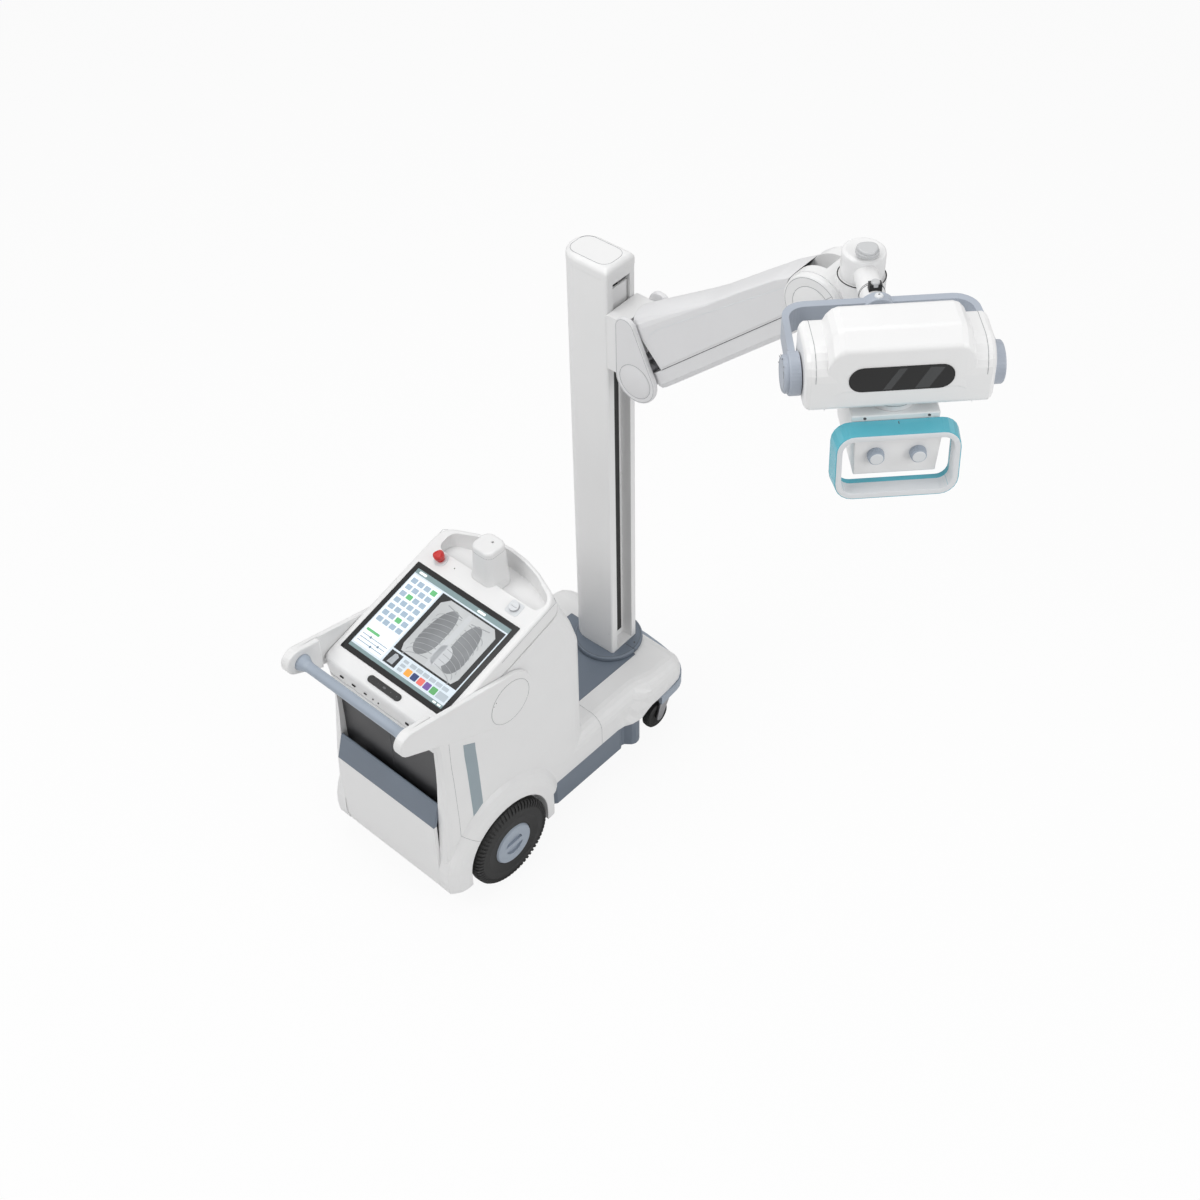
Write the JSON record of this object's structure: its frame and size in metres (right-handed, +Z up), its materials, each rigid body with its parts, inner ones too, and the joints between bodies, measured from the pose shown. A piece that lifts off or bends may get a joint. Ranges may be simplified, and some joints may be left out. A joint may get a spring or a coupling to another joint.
{
  "type": "portable x-ray machine",
  "caption": "Wheeled x-ray console with a push bar, touch screen and detector bin, a turning mast with a lifting two-piece arm, and a yoke-held tube head over a collimator with a ring grip.",
  "frame": {"origin": "on the floor straight below the rear wheels' axle, on the middle plane", "axes": "+X forward from the push bar to the mast, +Y to the machine's left, +Z up"},
  "size_m": [1.2113, 1.6018, 2.2642],
  "materials": {
    "white_cover": "satin white moulded covers",
    "grey_cover": "fine-grained light grey moulded covers",
    "column_profile": "white powder-coated extrusion",
    "slate_cover": "satin slate blue-grey moulding",
    "blue_grey_trim": "satin light blue-grey trim",
    "yoke_metal": "blue-grey painted casting",
    "housing": "white painted tube housing over a lead-lined tube",
    "black_plastic": "matt black plastic",
    "black_glass": "glossy black glass front",
    "tyre": "solid black rubber",
    "steel": "bright steel",
    "frame_steel": "dark painted steel",
    "power_block": "plain block for batteries and generator",
    "bearing": "slate painted casting",
    "teal_ring": "glossy teal plastic",
    "red_button": "glossy red plastic",
    "clear_window": "clear beam window",
    "arm_bar": "cast aluminium bar"
  },
  "bodies": {
    "chassis": {"base_frame": "frame_steel", "base_skirt": "slate_cover", "rear_axle_L": "steel", "rear_axle_R": "steel", "power_block": "power_block", "slew_bearing": "bearing", "body_shell": "white_cover", "console_top": "white_cover", "display_panel": "black_glass", "exposure_dock": "white_cover", "stop_button": "red_button", "key_switch": "steel", "button_strip": "black_plastic", "bin_panel": "white_cover", "bin_strip": "slate_cover", "bin_liner": "black_plastic", "handle_arm_L": "white_cover", "handle_arm_R": "white_cover", "handle_bar": "blue_grey_trim", "deck_cover": "white_cover", "deck_plate": "slate_cover", "front_bumper": "blue_grey_trim"},
    "rear_wheel_L": {"rear_tyre_L": "tyre", "rear_hub_L": "blue_grey_trim"},
    "rear_wheel_R": {"rear_tyre_R": "tyre", "rear_hub_R": "blue_grey_trim"},
    "caster_L": {"caster_fork_L": "steel"},
    "caster_R": {"caster_fork_R": "steel"},
    "caster_roller_L": {"caster_wheel_L": "tyre"},
    "caster_roller_R": {"caster_wheel_R": "tyre"},
    "mast": {"column": "column_profile", "column_cap": "white_cover", "column_collar": "slate_cover", "lift_belt": "black_plastic"},
    "lift_carriage": {"carriage": "white_cover", "shoulder_cheek_L": "grey_cover", "shoulder_cheek_R": "grey_cover", "shoulder_pin": "steel"},
    "arm": {"arm_core": "arm_bar", "arm_upper_cover": "grey_cover", "arm_lower_cover": "white_cover"},
    "elbow": {"elbow_bracket": "column_profile"},
    "head_post": {"post_head": "column_profile", "post_knob": "blue_grey_trim", "yoke_lock": "black_plastic"},
    "head_yoke": {"yoke": "yoke_metal"},
    "tube_head": {"tube_housing": "housing", "head_display": "black_glass", "collimator_neck": "grey_cover"},
    "collimator": {"collimator_box": "white_cover", "collimator_window": "clear_window", "grip_ring": "teal_ring", "collimator_knob_L": "blue_grey_trim", "collimator_knob_R": "blue_grey_trim"}
  },
  "joints": [
    {"name": "wheel_roll_L", "type": "hinge", "parent": "chassis", "child": "rear_wheel_L", "pos_m": [0, 0.2846, 0.151], "axis": [0, 1, 0], "continuous": true},
    {"name": "caster_swivel_L", "type": "hinge", "parent": "chassis", "child": "caster_L", "pos_m": [0.775, 0.204, 0], "axis": [0, 0, 1], "continuous": true},
    {"name": "caster_roll_L", "type": "hinge", "parent": "caster_L", "child": "caster_roller_L", "pos_m": [0.745, 0.204, 0.05], "axis": [0, 1, 0], "continuous": true},
    {"name": "wheel_roll_R", "type": "hinge", "parent": "chassis", "child": "rear_wheel_R", "pos_m": [0, -0.2846, 0.151], "axis": [0, 1, 0], "continuous": true},
    {"name": "caster_swivel_R", "type": "hinge", "parent": "chassis", "child": "caster_R", "pos_m": [0.775, -0.204, 0], "axis": [0, 0, 1], "continuous": true},
    {"name": "caster_roll_R", "type": "hinge", "parent": "caster_R", "child": "caster_roller_R", "pos_m": [0.745, -0.204, 0.05], "axis": [0, 1, 0], "continuous": true},
    {"name": "mast_turn", "type": "hinge", "parent": "chassis", "child": "mast", "pos_m": [0.7225, -0.0233, 0], "axis": [0, 0, 1], "range_deg": [-182, 358]},
    {"name": "arm_lift", "type": "slide", "parent": "mast", "child": "lift_carriage", "axis": [0, 0, 1], "range_m": [-0.9, 0.015]},
    {"name": "arm_pitch", "type": "hinge", "parent": "lift_carriage", "child": "arm", "pos_m": [0.72879, -0.20349, 1.5058], "axis": [0.9994, 0.0349, 0], "range_deg": [-5.7, 69.3]},
    {"name": "head_level", "type": "hinge", "parent": "arm", "child": "elbow", "pos_m": [0.74787, -0.74966, 2.01005], "axis": [0.9994, 0.0349, 0], "range_deg": [-69.3, 5.7]},
    {"name": "head_turn", "type": "hinge", "parent": "elbow", "child": "head_post", "pos_m": [0.75076, -0.83261, 2.01005], "axis": [0, 0, 1], "range_deg": [-53.5, 146.5]},
    {"name": "yoke_turn", "type": "hinge", "parent": "head_post", "child": "head_yoke", "pos_m": [0.75076, -0.83261, 2.12805], "axis": [-0.6884, -0.7254, 0], "range_deg": [-90, 90]},
    {"name": "tube_tilt", "type": "hinge", "parent": "head_yoke", "child": "tube_head", "pos_m": [0.481, -1.11688, 2.12805], "axis": [-0.7254, 0.6884, 0], "range_deg": [-30, 90]},
    {"name": "collimator_turn", "type": "hinge", "parent": "tube_head", "child": "collimator", "pos_m": [0.481, -1.11688, 2.12805], "axis": [0, 0, 1], "range_deg": [-90, 90]}
  ],
  "couplings": [
    {"joint": "head_level", "follows": "arm_pitch", "ratio": -1}
  ]
}
